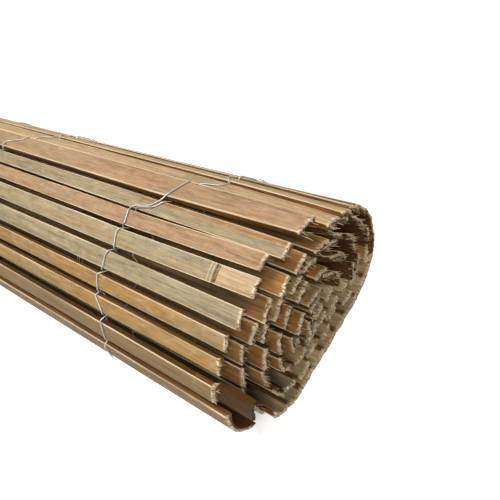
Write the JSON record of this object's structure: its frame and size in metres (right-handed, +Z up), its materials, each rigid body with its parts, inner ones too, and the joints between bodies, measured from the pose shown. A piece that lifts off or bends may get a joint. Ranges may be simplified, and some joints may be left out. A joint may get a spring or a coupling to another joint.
{
  "type": "bamboo slat fence",
  "caption": "Length of bamboo slat fence rolled up and lying on its side: split slats bound edge to edge by rows of paired wire, wound in a loose oval spiral with ragged ends.",
  "frame": {"origin": "middle of the flat base that the roll rests on, at floor level", "axes": "X along the roll with the seen end at plus X, Y across it, Z up"},
  "size_m": [0.9414, 0.1852, 0.1406],
  "materials": {
    "bamboo": "dry weathered split cane",
    "binding_wire": "dull galvanised"
  },
  "bodies": {
    "root": {"row_1_wire_a": "binding_wire", "row_1_wire_b": "binding_wire", "row_2_wire_a": "binding_wire", "row_2_wire_b": "binding_wire", "row_3_wire_a": "binding_wire", "row_3_wire_b": "binding_wire", "row_4_wire_a": "binding_wire", "row_4_wire_b": "binding_wire", "slat_01": "bamboo", "slat_02": "bamboo", "slat_03": "bamboo", "slat_04": "bamboo", "slat_05": "bamboo", "slat_06": "bamboo", "slat_07": "bamboo", "slat_08": "bamboo", "slat_09": "bamboo", "slat_10": "bamboo", "slat_11": "bamboo", "slat_12": "bamboo", "slat_13": "bamboo", "slat_14": "bamboo", "slat_15": "bamboo", "slat_16": "bamboo", "slat_17": "bamboo", "slat_18": "bamboo", "slat_19": "bamboo", "slat_20": "bamboo", "slat_21": "bamboo", "slat_22": "bamboo", "slat_23": "bamboo", "slat_24": "bamboo", "slat_25": "bamboo", "slat_26": "bamboo", "slat_27": "bamboo", "slat_28": "bamboo", "slat_29": "bamboo", "slat_30": "bamboo", "slat_31": "bamboo", "slat_32": "bamboo", "slat_33": "bamboo", "slat_34": "bamboo", "slat_35": "bamboo", "slat_36": "bamboo", "slat_37": "bamboo", "slat_38": "bamboo", "slat_39": "bamboo", "slat_40": "bamboo", "slat_41": "bamboo", "slat_42": "bamboo", "slat_43": "bamboo", "slat_44": "bamboo", "slat_45": "bamboo", "slats_turn_2": "bamboo", "slats_turn_3": "bamboo", "slats_turn_4": "bamboo", "slats_turn_5": "bamboo"}
  },
  "joints": []
}
